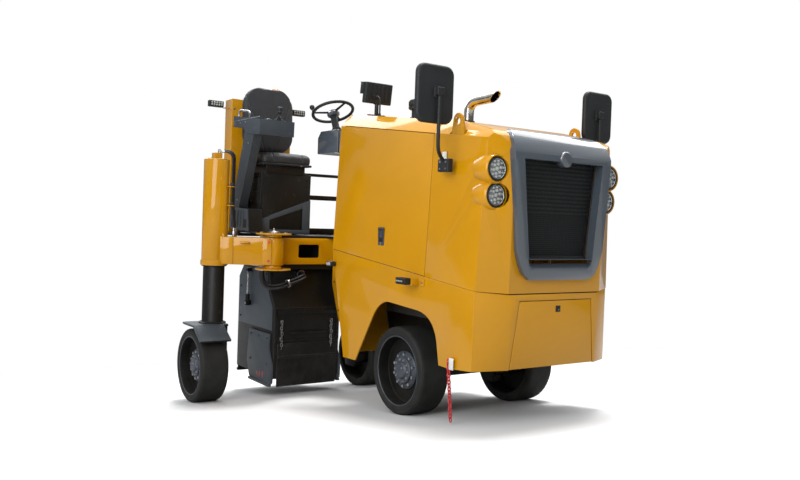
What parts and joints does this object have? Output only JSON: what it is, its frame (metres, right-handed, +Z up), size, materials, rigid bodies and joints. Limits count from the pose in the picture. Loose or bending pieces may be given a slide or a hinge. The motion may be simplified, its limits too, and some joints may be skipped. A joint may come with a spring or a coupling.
{
  "type": "cold planer milling machine",
  "caption": "Compact wheeled cold planer with a rear milling drum, swing-out right rear wheel on a lifting column, open operator platform and enclosed engine hood.",
  "frame": {"origin": "on the ground under the middle of the object's bounding box", "axes": "+X forward towards the radiator grille, +Y to the machine's left, +Z up; the chassis is pitched 6.8 degrees nose down in its transport stance"},
  "size_m": [3.7266, 2.337, 2.86],
  "materials": {
    "yellow_paint": "gloss",
    "slate_paint": "gloss",
    "dark_slate_paint": "satin",
    "black_steel": "satin",
    "tyre": "matte",
    "black_plastic": "matte",
    "exhaust_metal": "polished",
    "seat_vinyl": "matte",
    "amber_lens": "gloss",
    "lamp_lens": "gloss",
    "cast_metal": "rough",
    "hose_rubber": "matte"
  },
  "bodies": {
    "chassis": {"main_frame": "yellow_paint", "lower_skirt": "yellow_paint", "engine_block": "cast_metal", "hood_shell": "yellow_paint", "front_hood": "yellow_paint", "grille_surround": "slate_paint", "radiator_grille": "black_plastic", "right_headlamps": "lamp_lens", "left_headlamps": "lamp_lens", "lifting_eyes": "yellow_paint", "right_mirror": "black_plastic", "left_mirror": "black_plastic", "exhaust_pipe": "exhaust_metal", "display_panel": "black_plastic", "air_precleaner": "dark_slate_paint", "front_axle": "black_steel", "left_strut_sleeve": "yellow_paint", "drum_housing": "black_steel", "front_flap": "black_steel", "hose_bundle": "hose_rubber", "operator_floor": "black_steel", "boarding_step": "black_steel", "guard_rail": "black_steel", "seat_pedestal": "black_steel", "seat_cushion": "seat_vinyl", "seat_backrest": "seat_vinyl", "control_console": "dark_slate_paint", "steering_box": "slate_paint", "lamp_mast": "yellow_paint", "beacon_lamp": "amber_lens", "right_work_lamp": "black_plastic", "left_work_lamp": "black_plastic"},
    "right_front_knuckle": {"right_front_knuckle": "black_steel"},
    "left_front_knuckle": {"left_front_knuckle": "black_steel"},
    "right_front_wheel": {"right_front_tyre": "tyre", "right_front_rim": "black_steel"},
    "left_front_wheel": {"left_front_tyre": "tyre", "left_front_rim": "black_steel"},
    "right_rear_wheel": {"right_rear_tyre": "tyre", "right_rear_rim": "black_steel"},
    "left_rear_wheel": {"left_rear_tyre": "tyre", "left_rear_rim": "black_steel"},
    "right_swing_arm": {"right_swing_arm": "yellow_paint"},
    "right_rear_strut": {"right_rear_strut": "black_steel"},
    "left_rear_strut": {"left_rear_strut": "black_steel"},
    "right_engine_door": {"right_engine_door": "yellow_paint"},
    "left_engine_door": {"left_engine_door": "yellow_paint"},
    "front_door": {"front_door": "yellow_paint"},
    "rear_gate": {"rear_gate": "black_steel"},
    "right_skid_plate": {"right_skid_plate": "dark_slate_paint"},
    "left_skid_plate": {"left_skid_plate": "dark_slate_paint"},
    "milling_drum": {"milling_drum": "cast_metal"},
    "steering_wheel": {"steering_wheel": "black_plastic"}
  },
  "joints": [
    {"name": "right_front_steer", "type": "hinge", "parent": "chassis", "child": "right_front_knuckle", "pos_m": [0.7254, -0.0495, 0.30782], "axis": [0.1184, 0, 0.993], "range_deg": [-25, 25]},
    {"name": "left_front_steer", "type": "hinge", "parent": "chassis", "child": "left_front_knuckle", "pos_m": [0.7254, 0.5905, 0.30782], "axis": [0.1184, 0, 0.993], "range_deg": [-25, 25]},
    {"name": "right_front_spin", "type": "hinge", "parent": "right_front_knuckle", "child": "right_front_wheel", "pos_m": [0.7254, -0.2265, 0.30782], "axis": [0, 1, 0], "continuous": true},
    {"name": "left_front_spin", "type": "hinge", "parent": "left_front_knuckle", "child": "left_front_wheel", "pos_m": [0.7254, 0.7675, 0.30782], "axis": [0, 1, 0], "continuous": true},
    {"name": "right_arm_swing", "type": "hinge", "parent": "chassis", "child": "right_swing_arm", "pos_m": [-0.81998, -0.5295, 1.24942], "axis": [0.1184, 0, 0.993], "range_deg": [0, 180]},
    {"name": "right_column_lift", "type": "slide", "parent": "right_swing_arm", "child": "right_rear_strut", "axis": [0.1184, 0, 0.993], "range_m": [0, 0.35]},
    {"name": "left_column_lift", "type": "slide", "parent": "chassis", "child": "left_rear_strut", "axis": [0.1184, 0, 0.993], "range_m": [0, 0.35]},
    {"name": "right_rear_spin", "type": "hinge", "parent": "right_rear_strut", "child": "right_rear_wheel", "pos_m": [-1.187, -1.0365, 0.30826], "axis": [0, 1, 0], "continuous": true},
    {"name": "left_rear_spin", "type": "hinge", "parent": "left_rear_strut", "child": "left_rear_wheel", "pos_m": [-1.187, 0.5865, 0.30826], "axis": [0, 1, 0], "continuous": true},
    {"name": "drum_spin", "type": "hinge", "parent": "chassis", "child": "milling_drum", "pos_m": [-1.27709, -0.1395, 0.38043], "axis": [0, 1, 0], "continuous": true},
    {"name": "right_engine_door_hinge", "type": "hinge", "parent": "chassis", "child": "right_engine_door", "pos_m": [0.57792, -0.28601, 2.06079], "axis": [-0.9721, 0, 0.2344], "range_deg": [0, 80]},
    {"name": "left_engine_door_hinge", "type": "hinge", "parent": "chassis", "child": "left_engine_door", "pos_m": [0.57792, 0.82701, 2.06079], "axis": [0.9721, 0, -0.2344], "range_deg": [0, 80]},
    {"name": "front_door_hinge", "type": "hinge", "parent": "chassis", "child": "front_door", "pos_m": [1.64406, 0.2705, 0.3433], "axis": [0, 1, 0], "range_deg": [0, 90]},
    {"name": "rear_gate_hinge", "type": "hinge", "parent": "chassis", "child": "rear_gate", "pos_m": [-1.76061, -0.1345, 0.84394], "axis": [0, 1, 0], "range_deg": [0, 75]},
    {"name": "right_skid_lift", "type": "slide", "parent": "chassis", "child": "right_skid_plate", "axis": [0.1184, 0, 0.993], "range_m": [0, 0.2]},
    {"name": "left_skid_lift", "type": "slide", "parent": "chassis", "child": "left_skid_plate", "axis": [0.1184, 0, 0.993], "range_m": [0, 0.2]},
    {"name": "steering_wheel_turn", "type": "hinge", "parent": "chassis", "child": "steering_wheel", "pos_m": [-0.41457, -0.1395, 2.41965], "axis": [-0.2957, 0, 0.9553], "range_deg": [-300, 300]}
  ],
  "couplings": [
    {"joint": "left_front_steer", "follows": "right_front_steer", "ratio": 1},
    {"joint": "steering_wheel_turn", "follows": "right_front_steer", "ratio": 12}
  ]
}
